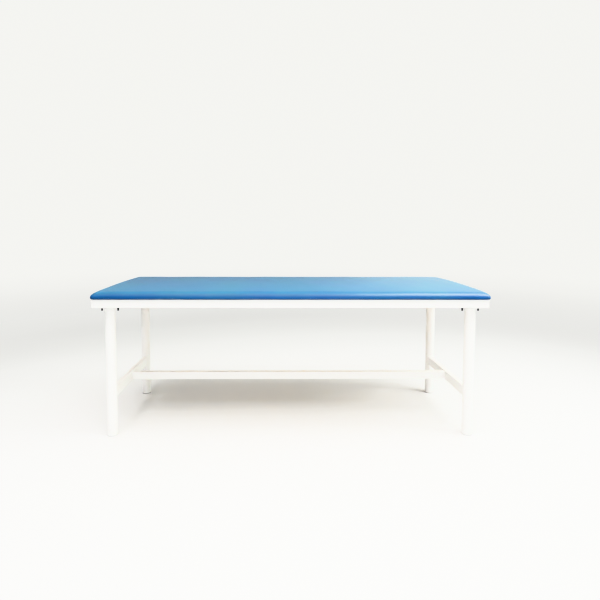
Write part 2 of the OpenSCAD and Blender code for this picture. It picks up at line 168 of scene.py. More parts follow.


# Floor: plain and pale, and as wide as the view needs. Away from the table it fades into a soft grey
# band of painted shade and then into the colour of the room, so no horizon shows. Far off it lights the
# table less than it looks, and it can be looked through from below.
floor_radius = 45.0
floor_rings = 24
floor_sides = 96
first_ring_share = 0.01
floor_fade = (1.6, 3.8)
distant_fade = (3.0, 9.5)
floor_glow = 0.05
floor_colour = (0.53, 0.53, 0.525, 1)
# A band of painted shade: a few metres out the floor glows this darker grey before the room's colour.
painted_shade_grey = (0.92, 0.92, 0.895, 1)
distant_light = (0.42, 0.42, 0.41, 1)


def grid_faces(rows, columns, closed=False):
    """Quads between neighbouring points of a grid that is numbered row by row.
    Closed joins the last column to the first."""
    index = np.arange(rows * columns).reshape(rows, columns)
    if closed:
        index = np.concatenate([index, index[:, :1]], axis=1)
    corners = [index[:-1, :-1], index[1:, :-1], index[1:, 1:], index[:-1, 1:]]
    return np.stack(corners, axis=-1).reshape(-1, 4)


def mesh_object(name, points, quads, material, caps=()):
    """Smooth mesh object at the origin, from an array of points, the quads between them and end caps."""
    mesh = bpy.data.meshes.new(name)
    faces = quads.tolist() + [list(cap) for cap in caps]
    mesh.from_pydata(points.reshape(-1, 3).tolist(), [], faces)
    mesh.polygons.foreach_set("use_smooth", np.ones(len(faces), bool))
    mesh.materials.append(material)
    made = bpy.data.objects.new(name, mesh)
    scene.collection.objects.link(made)
    return made


def new_material(name):
    """Empty material and its node tree."""
    material = bpy.data.materials.new(name)
    material.use_nodes = True
    material.node_tree.nodes.clear()
    return material, material.node_tree


def between(tree, share, low, high):
    """Value that goes from low to high as the share goes from 0 to 1: share * (high - low) + low."""
    return maths(tree, "MULTIPLY_ADD", share, high - low, low)


def floor_paint():
    """Matt paint near the table, and further out a glow in the colour that is seen there, which is a grey
    band of painted shade before the room's colour.
    """
    material, tree = new_material("floor_paint")
    place = put(tree, "TexCoord").outputs["Object"]
    distance = put(tree, "VectorMath", {0: place}, operation="LENGTH").outputs["Value"]
    matt = put(tree, "BsdfDiffuse", {"Color": floor_colour}).outputs[0]
    distant = mixed(tree, ramp(tree, distance, *distant_fade), painted_shade_grey, room_seen)
    seen = put(tree, "LightPath").outputs["Is Camera Ray"]
    far = put(tree, "Emission", {"Color": mixed(tree, seen, distant_light, distant)}).outputs[0]
    open_side = put(tree, "BsdfTransparent").outputs[0]
    fade = between(tree, ramp(tree, distance, *floor_fade), floor_glow, 1)
    blended = put(tree, "MixShader", {0: fade, 1: matt, 2: far}).outputs[0]
    from_below = put(tree, "NewGeometry").outputs["Backfacing"]
    both = put(tree, "MixShader", {0: from_below, 1: blended, 2: open_side}).outputs[0]
    put(tree, "OutputMaterial", {"Surface": both})
    return material


# A disc: the point (r cos a, r sin a, 0), with r growing as the square of its step from the middle.
ring_radius = floor_radius * np.linspace(first_ring_share, 1, floor_rings) ** 2
turn = np.linspace(0, 2 * np.pi, floor_sides, endpoint=False)
floor_points = np.stack(
    [
        np.outer(ring_radius, np.cos(turn)),
        np.outer(ring_radius, np.sin(turn)),
        np.zeros((floor_rings, floor_sides)),
    ],
    axis=-1,
)
floor_quads = grid_faces(floor_rings, floor_sides, closed=True)
floor = mesh_object("floor", floor_points, floor_quads, floor_paint(), caps=[range(floor_sides)])


# Welded steel frame: square rails, cross bars, corner plates, legs with their flanges, and stretchers.
# All of it is mild steel under a baked white powder coat, which has a faint orange peel, is thin on
# the outer edges and gathers a little dust on top.
mm = 0.001
corner_names = ["front_left", "front_right", "rear_left", "rear_right"]
bar_places = ["left", "middle", "right"]
steel_nodes = [
    "front_rail", "rear_rail", "left_end_rail", "right_end_rail", "rail_end_plates",
    "left_end_stretcher", "right_end_stretcher", "long_stretcher", "stretcher_end_plates",
]
steel_nodes += [place + "_cross_bar" for place in bar_places]
steel_nodes += [corner + part for corner in corner_names for part in ("_corner_plate", "_flange", "_leg")]
coat_white = (0.72, 0.72, 0.705, 1)
coat_thin = (0.54, 0.54, 0.525, 1)
coat_dusty = (0.62, 0.61, 0.58, 1)
thin_share = 0.5
coat_roughness = (0.27, 0.39)
dust_roughness = 0.3
# A mask rises from 0 to 1 between two values: of an edge's turn, of noise, or of how far a face looks up.
edge_turn = (0.02, 0.25)
edge_patch = (0.42, 0.66)
dust_facing = (0.35, 0.95)
dust_patch = (0.35, 0.75)


def new_group(name, inputs, outputs):
    """Shader node group with number inputs and the named outputs.
    Gives its tree, its input sockets and its output node."""
    tree = bpy.data.node_groups.new(name, "ShaderNodeTree")
    for label, value in inputs.items():
        socket = tree.interface.new_socket(label, in_out="INPUT", socket_type="NodeSocketFloat")
        socket.default_value = value
    for label, kind in outputs.items():
        tree.interface.new_socket(label, in_out="OUTPUT", socket_type="NodeSocket" + kind)
    given = tree.nodes.new("NodeGroupInput").outputs
    return tree, given, tree.nodes.new("NodeGroupOutput")


def worn_edge_group():
    """Mask of outer edges, broken up in patches, and the normal of the same edges slightly rounded.
    An edge is where a normal rounded over the width turns away from the surface's own."""
    tree, given, out = new_group(
        "worn_edge", {"Width": 1 * mm, "Patches": 60.0}, {"Mask": "Float", "Normal": "Vector"}
    )
    rounded = put(tree, "Bevel", {"Radius": given["Width"]}, samples=4).outputs[0]
    own = put(tree, "NewGeometry").outputs["Normal"]
    alike = put(tree, "VectorMath", {0: rounded, 1: own}, operation="DOT_PRODUCT").outputs["Value"]
    edge = ramp(tree, maths(tree, "SUBTRACT", 1.0, alike), *edge_turn)
    place = put(tree, "TexCoord").outputs["Object"]
    noise = put(tree, "TexNoise", {"Vector": place, "Scale": given["Patches"], "Detail": 3.0})
    patches = ramp(tree, noise.outputs[0], *edge_patch)
    tree.links.new(maths(tree, "MULTIPLY", edge, patches), out.inputs["Mask"])
    tree.links.new(rounded, out.inputs["Normal"])
    return tree


def settled_dust_group():
    """Mask of dust: it lies on faces that look up, in soft clouds."""
    tree, given, out = new_group("settled_dust", {"Amount": 0.5, "Clouds": 9.0}, {"Mask": "Float"})
    own = put(tree, "NewGeometry").outputs["Normal"]
    up = ramp(tree, put(tree, "SeparateXYZ", {0: own}).outputs["Z"], *dust_facing)
    place = put(tree, "TexCoord").outputs["Object"]
    noise = put(tree, "TexNoise", {"Vector": place, "Scale": given["Clouds"], "Detail": 4.0})
    clouds = ramp(tree, noise.outputs[0], *dust_patch)
    lying = maths(tree, "MULTIPLY", maths(tree, "MULTIPLY", up, clouds), given["Amount"])
    tree.links.new(lying, out.inputs["Mask"])
    return tree


def fine_grain_group():
    """Height, from 0 to 1, of a fine pebbled surface: soft lumps of one size with finer ones between."""
    tree, given, out = new_group("fine_grain", {"Scale": 400.0}, {"Height": "Float"})
    place = put(tree, "TexCoord").outputs["Object"]
    lumps = put(tree, "TexNoise", {"Vector": place, "Scale": given["Scale"], "Detail": 2.0})
    tree.links.new(lumps.outputs[0], out.inputs["Height"])
    return tree


worn_edge = worn_edge_group()
settled_dust = settled_dust_group()
fine_grain = fine_grain_group()


def lay_finish(tree, bump, finish):
    """Ends a material: the finish goes onto one shader, and the bump turns that shader's normal."""
    finish["Normal"] = put(tree, "Bump", bump).outputs[0]
    put(tree, "OutputMaterial", {"Surface": put(tree, "BsdfPrincipled", finish).outputs[0]})


def powder_coat():
    """White powder coat: fine peel, thin paint in patches on the edges, dust on what looks up."""
    material, tree = new_material("white_powder_coat")
    edge = put(tree, "Group", {"Width": 0.9 * mm, "Patches": 45.0}, node_tree=worn_edge)
    dust = put(tree, "Group", {"Amount": 0.45}, node_tree=settled_dust).outputs["Mask"]
    peel = put(tree, "Group", {"Scale": 330.0}, node_tree=fine_grain).outputs["Height"]
    thin = maths(tree, "MULTIPLY", edge.outputs["Mask"], thin_share)
    colour = mixed(tree, dust, mixed(tree, thin, coat_white, coat_thin), coat_dusty)
    gloss = between(tree, peel, *coat_roughness)
    roughness = maths(tree, "MULTIPLY_ADD", dust, dust_roughness, gloss)
    bump = {"Height": peel, "Normal": edge.outputs["Normal"], "Strength": 0.45, "Distance": 0.12 * mm}
    lay_finish(tree, bump, {"Base Color": colour, "Roughness": roughness})
    return material


def dress(names, material):
    """Gives CAD nodes a material in place of their plain one."""
    for name in names:
        for slot in nodes[name].material_slots:
            slot.material = material


white_coat = powder_coat()
dress(steel_nodes, white_coat)


# Weld beads of the frame: small fillets laid by hand where one steel piece meets another,
# and powder-coated with them. The flat joints on the outside of the rails are ground flush.
leg_weld = 3.2 * mm
stretcher_weld = 2.8 * mm
bar_weld = 2.6 * mm
plate_weld = 2.8 * mm
weld_ripple_pitch = 2.4 * mm
weld_ripple_points = 4
fewest_ripples = 3
weld_ripple = 0.09
weld_bulge = 0.45
weld_skin_points = 6
weld_root = 0.2
weld_start = 0.35
leg_weld_points = 180
plate_weld_points = 30
loop_fineness = 4
bar_weld_stop = 3 * mm
plate_weld_margin = 4 * mm
tube_edge_radius = 2.5 * mm
front_rail_low, front_rail_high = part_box("front_rail")
rail_width = front_rail_high.y - front_rail_low.y
rail_inset = cad_box[1].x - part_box("rail_end_plates")[1].x
leg_low, leg_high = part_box("front_left_leg")
leg_radius = (leg_high.x - leg_low.x) / 2
plate_low, plate_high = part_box("front_left_corner_plate")
plate_length = plate_high.x - plate_low.x


def resampled(path, closed):
    """The same path with evenly spaced points, a few to each ripple of the weld.
    Gives them and their distances along the path, counted in ripples."""
    ring = np.concatenate([path, path[:1]]) if closed else path
    run = np.concatenate([[0], np.cumsum(np.linalg.norm(np.diff(ring[:, :3], axis=0), axis=1))])
    ripples = max(fewest_ripples, round(run[-1] / weld_ripple_pitch))
    spaced = np.linspace(0, run[-1], ripples * weld_ripple_points + 1)
    if closed:
        spaced = spaced[:-1]
    even = np.stack([np.interp(spaced, run, column) for column in ring.T], axis=1)
    return even, spaced / run[-1] * ripples


def weld_bead(path, size, closed):
    """Points, quads and caps of a fillet weld along a path of rows (point, direction a, direction b).
    Its skin is the point + size * ripple * reach(t) * (a cos t + b sin t) with t from 0 to 90 degrees.
    Reach goes from the straight fillet, 1 / (cos t + sin t), to the round one, 1, and a root closes it.
    An open bead starts and ends thinner."""
    even, phase = resampled(path, closed)
    point, first, second = even[:, None, :3], even[:, None, 3:6], even[:, None, 6:9]
    t = np.linspace(0, np.pi / 2, weld_skin_points)[None, :, None]
    reach = (1 - weld_bulge) / (np.cos(t) + np.sin(t)) + weld_bulge
    ripple = 1 + weld_ripple * np.cos(2 * np.pi * phase)[:, None, None]
    if not closed:
        run_out = np.minimum(phase, phase[-1] - phase)[:, None, None]
        ripple = ripple * np.minimum(1, weld_start + (1 - weld_start) * run_out)
    skin = point + size * ripple * reach * (np.cos(t) * first + np.sin(t) * second)
    root = point - weld_root * size * (first + second)
    points = np.concatenate([skin, root], axis=1)
    rows, columns = points.shape[:2]
    quads = grid_faces(rows, columns, closed=True)
    start_row = np.arange(columns)
    end_row = start_row + (rows - 1) * columns
    if closed:
        join = np.stack([end_row, start_row, np.roll(start_row, -1), np.roll(end_row, -1)], axis=1)
        return points.reshape(-1, 3), np.concatenate([quads, join]), []
    return points.reshape(-1, 3), quads, [start_row[::-1], end_row]


def weld_piece(name, beads):
    """All the beads of one kind as one piece, its faces turned outwards."""
    points, quads, caps, start = [], [], [], 0
    for bead_points, bead_quads, bead_caps in beads:
        points.append(bead_points)
        quads.append(bead_quads + start)
        caps += [cap + start for cap in bead_caps]
        start += len(bead_points)
    made = mesh_object(name, np.concatenate(points), np.concatenate(quads), white_coat, caps)
    bpy.context.view_layer.objects.active = made
    bpy.ops.object.select_all(action="DESELECT")
    made.select_set(True)
    bpy.ops.object.mode_set(mode="EDIT")
    bpy.ops.mesh.select_all(action="SELECT")
    bpy.ops.mesh.normals_make_consistent(inside=False)
    bpy.ops.object.mode_set(mode="OBJECT")
    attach(made, "root")


def middle_of(name):
    """Middle of a node's box, as an array."""
    low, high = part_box(name)
    return (np.array(low) + np.array(high)) / 2


def path_rows(point, first, second):
    """Rows (point, direction a, direction b) of a weld's path.
    A direction that is the same all along is spread to all points."""
    return np.concatenate([np.broadcast_to(v, point.shape) for v in (point, first, second)], axis=1)


def leg_top_bead(corner):
    """Ring round a leg under its flange: the leg's radius carried round its axis."""
    around = np.linspace(0, 2 * np.pi, leg_weld_points, endpoint=False)
    outward = np.stack([np.cos(around), np.sin(around), np.zeros_like(around)], axis=1)
    axis = middle_of(corner + "_leg") * [1, 1, 0] + [0, 0, leg_high.z]
    path = path_rows(axis + leg_radius * outward, outward, np.array([0, 0, -1.0]))
    return weld_bead(path, leg_weld, closed=True)


def rounded_loop(width, height, radius, steps=8):
    """Points of a rectangle with round corners, centred, and the outward directions there."""
    quarter = np.linspace(0, np.pi / 2, steps)
    turn = np.concatenate([quarter + corner * np.pi / 2 for corner in range(4)])
    signs = np.repeat([[1, 1], [-1, 1], [-1, -1], [1, -1]], steps, axis=0)
    outward = np.stack([np.cos(turn), np.sin(turn)], axis=1)
    return signs * [width / 2 - radius, height / 2 - radius] + radius * outward, outward


def finer_loop(rows):
    """A closed loop of rows with more rows on the straight lines between them."""
    count = len(rows)
    dense = np.linspace(0, count, loop_fineness * count, endpoint=False)
    wrap = np.arange(count + 1)
    return np.stack([np.interp(dense, wrap, np.append(column, column[0])) for column in rows.T], axis=1)


def end_stretcher_bead(side, end):
    """Loop where an end stretcher meets a leg: its section laid on the leg's round face, which stands
    back from the leg's axis by the root of (radius^2 - x^2)."""
    name = ("left" if side < 0 else "right") + "_end_stretcher"
    low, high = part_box(name)
    leg = middle_of(("front" if end < 0 else "rear") + ("_left" if side < 0 else "_right") + "_leg")
    section, outward = rounded_loop(high.x - low.x, high.z - low.z, tube_edge_radius)
    section, outward = finer_loop(section), finer_loop(outward)
    back = np.sqrt(leg_radius**2 - section[:, 0] ** 2)
    point = np.stack(
        [leg[0] + section[:, 0], leg[1] - end * back, (low.z + high.z) / 2 + section[:, 1]], axis=1
    )
    off_section = np.stack([outward[:, 0], 0 * back, outward[:, 1]], axis=1)
    off_leg = np.stack([section[:, 0] / leg_radius, -end * back / leg_radius, 0 * back], axis=1)
    along_leg = off_section - (off_section * off_leg).sum(axis=1, keepdims=True) * off_leg
    along_leg /= np.linalg.norm(along_leg, axis=1, keepdims=True)
    path = path_rows(point, np.array([0, -end, 0.0]), along_leg)
    return weld_bead(path, stretcher_weld, closed=True)


def cross_bar_bead(name, end):
    """Open loop down one side of a cross bar, along under it and up the other, on a rail's inner face."""
    low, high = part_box(name)
    middle = middle_of(name)
    section, outward = rounded_loop(high.x - low.x, high.z - low.z, tube_edge_radius)
    lower = np.roll(np.arange(len(section)), -len(section) // 2)[: len(section) // 2]
    half = (high.x - low.x) / 2
    stop = (high.z - low.z) / 2 - bar_weld_stop
    path = np.concatenate([[[-half, stop]], section[lower], [[half, stop]]])
    off = np.concatenate([[[-1, 0]], outward[lower], [[1, 0]]])
    wall = high.y if end > 0 else low.y
    point = np.stack([middle[0] + path[:, 0], np.full(len(path), wall), middle[2] + path[:, 1]], axis=1)
    off_bar = np.stack([off[:, 0], 0 * off[:, 0], off[:, 1]], axis=1)
    return weld_bead(path_rows(point, np.array([0, -end, 0.0]), off_bar), bar_weld, closed=False)


def corner_plate_beads(x, y):
    """Straight beads in an inner corner of the frame: on the plate along both rails, and up the corner."""
    corner = np.array([x * (cad_box[1].x - rail_inset - rail_width), -y * front_rail_high.y, plate_high.z])
    inward_x, inward_y, up = np.array([-x, 0, 0.0]), np.array([0, -y, 0.0]), np.array([0, 0, 1.0])
    near, far = plate_weld_margin, plate_length - plate_weld_margin
    rail_end = [corner[0], corner[1], front_rail_high.z - plate_weld_margin]
    runs = [
        (corner + near * inward_x, corner + far * inward_x, inward_y, up),
        (corner + near * inward_y, corner + far * inward_y, inward_x, up),
        (corner + near * up, rail_end, inward_x, inward_y),
    ]
    return [
        weld_bead(
            path_rows(np.linspace(start, stop, plate_weld_points), first, second),
            plate_weld,
            closed=False,
        )
        for start, stop, first, second in runs
    ]


both_ends = (-1, 1)
weld_piece("leg_flange_welds", [leg_top_bead(corner) for corner in corner_names])
weld_piece("end_stretcher_welds", [end_stretcher_bead(x, y) for x in both_ends for y in both_ends])
weld_piece(
    "cross_bar_welds",
    [cross_bar_bead(place + "_cross_bar", y) for place in bar_places for y in both_ends],
)
weld_piece(
    "frame_corner_welds",
    [bead for x in both_ends for y in both_ends for bead in corner_plate_beads(x, y)],
)


# Foot caps: moulded grey polyethylene plugs, pressed into the lower ends of the legs.
# Their soles rest on the floor, and they are darker in patches next to the floor and along their edges.
cap_grey = (0.24, 0.24, 0.23, 1)
cap_darker_grey = (0.12, 0.116, 0.11, 1)
cap_roughness = (0.45, 0.65)
darker_band_height = 3 * mm
darker_patch = (0.4, 0.65)


def cap_plastic():
    """Grey moulded plastic with a fine grain, darker in patches near the floor and along the edges."""
    material, tree = new_material("moulded_cap_plastic")
    place = put(tree, "TexCoord").outputs["Object"]
    height = put(tree, "SeparateXYZ", {0: place}).outputs["Z"]
    # Darker towards the bottom: patches within the lowest few millimetres, next to the floor, are darker
    # grey.
    low_down = maths(tree, "SUBTRACT", 1.0, ramp(tree, height, 0.0, darker_band_height))
    noise = put(tree, "TexNoise", {"Vector": place, "Scale": 160.0, "Detail": 4.0}).outputs[0]
    darker_low_patches = maths(tree, "MULTIPLY", low_down, ramp(tree, noise, *darker_patch))
    edge = put(tree, "Group", {"Width": 0.6 * mm, "Patches": 90.0}, node_tree=worn_edge)
    grain = put(tree, "Group", {"Scale": 1500.0}, node_tree=fine_grain).outputs["Height"]
    darker_share = maths(tree, "MAXIMUM", darker_low_patches, edge.outputs["Mask"])
    colour = mixed(tree, darker_share, cap_grey, cap_darker_grey)
    roughness = between(tree, grain, *cap_roughness)
    bump = {"Height": grain, "Normal": edge.outputs["Normal"], "Strength": 0.3, "Distance": 0.05 * mm}
    lay_finish(tree, bump, {"Base Color": colour, "Roughness": roughness})
    return material


dress([corner + "_foot_cap" for corner in corner_names], cap_plastic())


# Studs and nuts that hold the legs to the frame, and bolts that hold the long stretcher to the end
# stretchers, with their washers. They are steel with a black oxide finish, rubbed bare along the edges.
oxide_nodes = ["flange_studs", "flange_nuts", "flange_washers", "stretcher_bolts", "stretcher_washers"]
oxide_black = (0.018, 0.018, 0.020, 1)
oxide_worn = (0.22, 0.21, 0.20, 1)
oxide_metallic = 0.85
oxide_roughness = (0.3, 0.52)
rubbed_share = 0.7


def black_oxide():
    """Black steel, bare in patches on its edges, and less metallic where dust lies."""
    material, tree = new_material("black_oxide_steel")
    edge = put(tree, "Group", {"Width": 0.4 * mm, "Patches": 500.0}, node_tree=worn_edge)
    dust = put(tree, "Group", {"Amount": 0.25, "Clouds": 80.0}, node_tree=settled_dust).outputs["Mask"]
    grain = put(tree, "Group", {"Scale": 1800.0}, node_tree=fine_grain).outputs["Height"]
    rubbed = maths(tree, "MULTIPLY", edge.outputs["Mask"], rubbed_share)
    finish = {
        "Base Color": mixed(tree, dust, mixed(tree, rubbed, oxide_black, oxide_worn), coat_dusty),
        "Metallic": maths(tree, "SUBTRACT", oxide_metallic, dust, clamp=True),
        "Roughness": between(tree, grain, *oxide_roughness),
    }
    bump = {"Height": grain, "Normal": edge.outputs["Normal"], "Strength": 0.3, "Distance": 0.04 * mm}
    lay_finish(tree, bump, finish)
    return material


dress(oxide_nodes, black_oxide())


# Screws, tee nuts, staples, weld nuts and sleeves: small steel parts with bright zinc plating,
# which is cloudy under a thin passivated film.
zinc_nodes = [
    "board_screws", "board_screw_washers", "board_tee_nuts", "cover_staples",
    "stretcher_weld_nuts", "stretcher_sleeves",
]
zinc_bright = (0.66, 0.68, 0.71, 1)
zinc_cloudy = (0.50, 0.52, 0.54, 1)
zinc_roughness = (0.24, 0.4)
zinc_patch = (0.35, 0.7)


def zinc_plating():
    """Bright zinc that turns cloudy in patches, away from the edges."""
    material, tree = new_material("zinc_plated_steel")
    place = put(tree, "TexCoord").outputs["Object"]
    clouds = put(tree, "TexNoise", {"Vector": place, "Scale": 240.0, "Detail": 3.0}).outputs[0]
    edge = put(tree, "Group", {"Width": 0.3 * mm, "Patches": 400.0}, node_tree=worn_edge)
    grain = put(tree, "Group", {"Scale": 2200.0}, node_tree=fine_grain).outputs["Height"]
    cloudy = maths(tree, "SUBTRACT", ramp(tree, clouds, *zinc_patch), edge.outputs["Mask"], clamp=True)
    finish = {
        "Base Color": mixed(tree, cloudy, zinc_bright, zinc_cloudy),
        "Metallic": 1.0,
        "Roughness": between(tree, cloudy, *zinc_roughness),
    }
    bump = {"Height": grain, "Normal": edge.outputs["Normal"], "Strength": 0.25, "Distance": 0.03 * mm}
    lay_finish(tree, bump, finish)
    return material


dress(zinc_nodes, zinc_plating())


# Board: poplar plywood of seven plies, cut to the pad's outline. It is bare underneath,
# where it shows between the rails, and the sawn plies show along its edge.
ply_pale = (0.66, 0.48, 0.29, 1)
ply_brown = (0.43, 0.27, 0.14, 1)
ply_cross = (0.34, 0.21, 0.11, 1)
ply_count = 7
figure_stretch = (0.9, 9.0, 9.0)
figure_rings = 9.0
late_wood_band = (0.3, 0.5)
late_wood_share = 0.35
fibre_stretch = (12.0, 900.0, 900.0)
fibre_share = 0.35
face_level = (0.5, 0.9)
board_roughness = (0.55, 0.75)
board_low, board_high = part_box("top_board")


def plywood():
    """Level faces show long growth rings and fibres: stretched noise, cut into bands by its fraction.
    The sawn edge shows the plies, by turns along and across: one pair to each whole step in height."""
    material, tree = new_material("poplar_plywood")
    place = put(tree, "TexCoord").outputs["Object"]
    lengthwise = put(tree, "Mapping", {"Vector": place, "Scale": figure_stretch}).outputs[0]
    figure = put(tree, "TexNoise", {"Vector": lengthwise, "Scale": 2.2, "Detail": 4.0, "Distortion": 0.9})
    rings = maths(tree, "FRACT", maths(tree, "MULTIPLY", figure.outputs[0], figure_rings))
    off_middle = maths(tree, "ABSOLUTE", maths(tree, "SUBTRACT", rings, 0.5))
    late_wood = maths(tree, "MULTIPLY", ramp(tree, off_middle, *late_wood_band), late_wood_share)
    fibre_place = put(tree, "Mapping", {"Vector": place, "Scale": fibre_stretch}).outputs[0]
    fibres = put(tree, "TexNoise", {"Vector": fibre_place, "Scale": 1.0, "Detail": 2.0}).outputs[0]
    face = mixed(tree, maths(tree, "MULTIPLY_ADD", fibres, fibre_share, late_wood), ply_pale, ply_brown)
    height = put(tree, "SeparateXYZ", {0: place}).outputs["Z"]
    above = maths(tree, "SUBTRACT", height, board_low.z)
    pairs = maths(tree, "MULTIPLY", above, ply_count / (board_high.z - board_low.z) / 2)
    crosswise = maths(tree, "GREATER_THAN", maths(tree, "FRACT", pairs), 0.5)
    sawn = mixed(tree, crosswise, ply_pale, ply_cross)
    own = put(tree, "NewGeometry").outputs["Normal"]
    level = maths(tree, "ABSOLUTE", put(tree, "SeparateXYZ", {0: own}).outputs["Z"])
    finish = {
        "Base Color": mixed(tree, ramp(tree, level, *face_level), sawn, face),
        "Roughness": between(tree, fibres, *board_roughness),
    }
    lay_finish(tree, {"Height": fibres, "Strength": 0.35, "Distance": 0.15 * mm}, finish)
    return material


dress(["top_board"], plywood())


# Foam: one sheet of open-cell polyurethane on the board, its upper edges rounded by the cover that
# is pulled over it. It fills the cover and lies loose on the board.
foam_cream = (0.80, 0.70, 0.42, 1)
foam_cell = (0.58, 0.47, 0.24, 1)
foam_roughness = (0.85, 0.95)
pore_reach = (0.05, 0.5)
pore_share = 0.45
foam_cloud_share = 0.2
foam_depth = 2 * mm
pad_low, pad_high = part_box("pad_cover")
rail_top = pad_low.z
half_length = pad_high.x
half_width = pad_high.y
corner_radius = 26 * mm
smallest_radius = 5 * mm
shoulder_width = 32 * mm
shoulder_border = 8 * mm
shoulder_power = 1.15
board_level = 13 * mm
widest_level = 9 * mm
shoulder_level = 35 * mm
crown_rise = pad_high.z - pad_low.z - shoulder_level
front_drop = 3.5 * mm
rear_drop = 1.2 * mm
corner_reach = 45 * mm
side_draw = 3 * mm
flat_columns = 80
flat_rows = 30
crowding = 0.4


def graded(count):
    """Places from -1 to 1 that crowd together at both ends: (1 + crowding) * t - crowding * t cubed."""
    t = np.linspace(-1, 1, count + 1)
    return (1 + crowding) * t - crowding * t**3


def section_rows(inset, height, draw, least_radius):
    """Rows (inset, height, plan radius, draw) of a section.
    The plan radius is what the inset leaves of the corner's, and never less than the least."""
    inset, height, draw = np.broadcast_arrays(inset, height, draw)
    radius = np.maximum(corner_radius - inset, least_radius)
    return np.stack([inset, height, radius, draw], axis=-1)


def upper_section(depth, shoulder_steps=14):
    """Section from the flat top's border to the widest level, a depth under the skin: the flattened
    ellipse (shoulder width - reach * sin^p a, widest level + rise * cos^p a), a from 0 to 90 degrees."""
    a = np.linspace(0, np.pi / 2, shoulder_steps + 1)
    across = np.sin(a) ** shoulder_power
    up = np.maximum(np.cos(a), 0) ** shoulder_power
    inset = shoulder_width - (shoulder_width - depth) * across
    height = widest_level + (shoulder_level - widest_level - depth) * up
    border = np.array([shoulder_width + shoulder_border])
    return np.concatenate(
        [
            section_rows(border, shoulder_level - depth, side_draw, 0.0),
            section_rows(inset, height, side_draw * up, smallest_radius),
        ]
    )


def wrapped_sheet(section, crowned):
    """Points of a rectangular sheet laid over the pad and wrapped down round its edge by a section.
    A point of the flat part is a share of the level field. Past its border the sheet follows the
    section, k rows down, with k the larger of its steps past the border in X and in Y. At a corner
    it fans out round the plan arc, to the angle 45 degrees * (steps in Y / k), or past the diagonal
    90 degrees - 45 degrees * (steps in X / k). A side pulls in between its corners by draw * (1 - s^2),
    with s the share along it. The crown adds rise * (1 - v^2), with v the share of the half width,
    and each corner sinks by drop * exp(-(distance / reach)^2), the rear ones by less."""
    count = len(section) - 1
    past = np.arange(1, count + 1)
    axes = []
    for cells in (flat_columns, flat_rows):
        steps = np.concatenate([past[::-1], np.zeros(cells + 1, int), past])
        share = np.concatenate([-np.ones(count), graded(cells), np.ones(count)])
        axes.append((steps, share))
    steps_x, steps_y = np.meshgrid(axes[0][0], axes[1][0], indexing="ij")
    share_x, share_y = np.meshgrid(axes[0][1], axes[1][1], indexing="ij")
    k = np.maximum(steps_x, steps_y)
    fan = np.where(steps_x >= steps_y, steps_y, 2 * k - steps_x) / np.maximum(k, 1)
    angle = fan * np.pi / 4
    inset, height, radius, draw = np.moveaxis(section[k], -1, 0)
    x = share_x * (half_length - inset - radius) + np.sign(share_x) * radius * np.cos(angle)
    y = share_y * (half_width - inset - radius) + np.sign(share_y) * radius * np.sin(angle)
    x = x - draw * (1 - share_y**2) * share_x
    y = y - draw * (1 - share_x**2) * share_y
    v = np.clip(np.abs(y) / (half_width - shoulder_width), 0, 1)
    from_corner = np.hypot(half_length - np.abs(x), half_width - np.abs(y))
    drop = np.where(y > 0, rear_drop, front_drop)
    lift = crowned * (1 - v**2) - drop * np.exp(-((from_corner / corner_reach) ** 2))
    soft_share = np.clip((height - widest_level) / (section[0, 1] - widest_level), 0, 1)
    return np.stack([x, y, rail_top + height + lift * soft_share], axis=-1), k, angle


def foam_skin():
    """Cream foam with small dark pores, faint clouds and dust."""
    material, tree = new_material("cream_foam")
    place = put(tree, "TexCoord").outputs["Object"]
    cells = put(tree, "TexVoronoi", {"Vector": place, "Scale": 900.0}).outputs["Distance"]
    clouds = put(tree, "TexNoise", {"Vector": place, "Scale": 25.0, "Detail": 4.0}).outputs[0]
    dust = put(tree, "Group", {"Amount": 0.2}, node_tree=settled_dust).outputs["Mask"]
    pores = maths(tree, "SUBTRACT", 1.0, ramp(tree, cells, *pore_reach))
    dark_pores = maths(tree, "MULTIPLY", pores, pore_share)
    shade = maths(tree, "MULTIPLY_ADD", clouds, foam_cloud_share, dark_pores, clamp=True)
    finish = {
        "Base Color": mixed(tree, dust, mixed(tree, shade, foam_cream, foam_cell), coat_dusty),
        "Roughness": between(tree, clouds, *foam_roughness),
    }
    lay_finish(tree, {"Height": cells, "Strength": 0.8, "Distance": 0.5 * mm}, finish)
    return material


foam_upper = upper_section(foam_depth)
foam_upper = foam_upper[foam_upper[:, 1] > board_level]
foam_top, foam_steps, _ = wrapped_sheet(foam_upper, crown_rise)
foam_under = np.copy(foam_top)
foam_under[..., 2] = rail_top + board_level
upper_faces = grid_faces(*foam_steps.shape)
lower_faces = upper_faces[:, ::-1] + foam_steps.size
foam_points = np.concatenate([foam_top.reshape(-1, 3), foam_under.reshape(-1, 3)])
foam = mesh_object("foam_sheet", foam_points, np.concatenate([upper_faces, lower_faces]), foam_skin())
rim = foam.modifiers.new("rim", "WELD")
rim.merge_threshold = 0.01 * mm
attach(foam, "root")
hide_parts("foam_pad")


# Cover: one sheet of smooth blue PU-coated cloth, a millimetre thick, pulled over the foam, gathered
# into small pleats at the four corners, turned under the board and stapled there. It is paler in
# cloudy patches. A painted sheen makes the top paler than the sides, and painted shade darkens the
# lower edge.
cover_blue = (0.006, 0.047, 0.134, 1)
# The paler blue of the painted sheen on the top, and of the cloudy patches.
cover_sheen_and_cloud_blue = (0.014, 0.083, 0.131, 1)
# The darker blue of painted shade along the cover's lower edge.
cover_painted_shade = (0.004, 0.018, 0.045, 1)
cover_dusty = (0.30, 0.38, 0.48, 1)
# Painted sheen: faces are painted paler as they look up, over this range, by this share.
sheen_facing = (0.45, 0.95)
painted_sheen_share = 0.65
cloud_patch = (0.3, 0.75)
cloud_share = 1 - painted_sheen_share
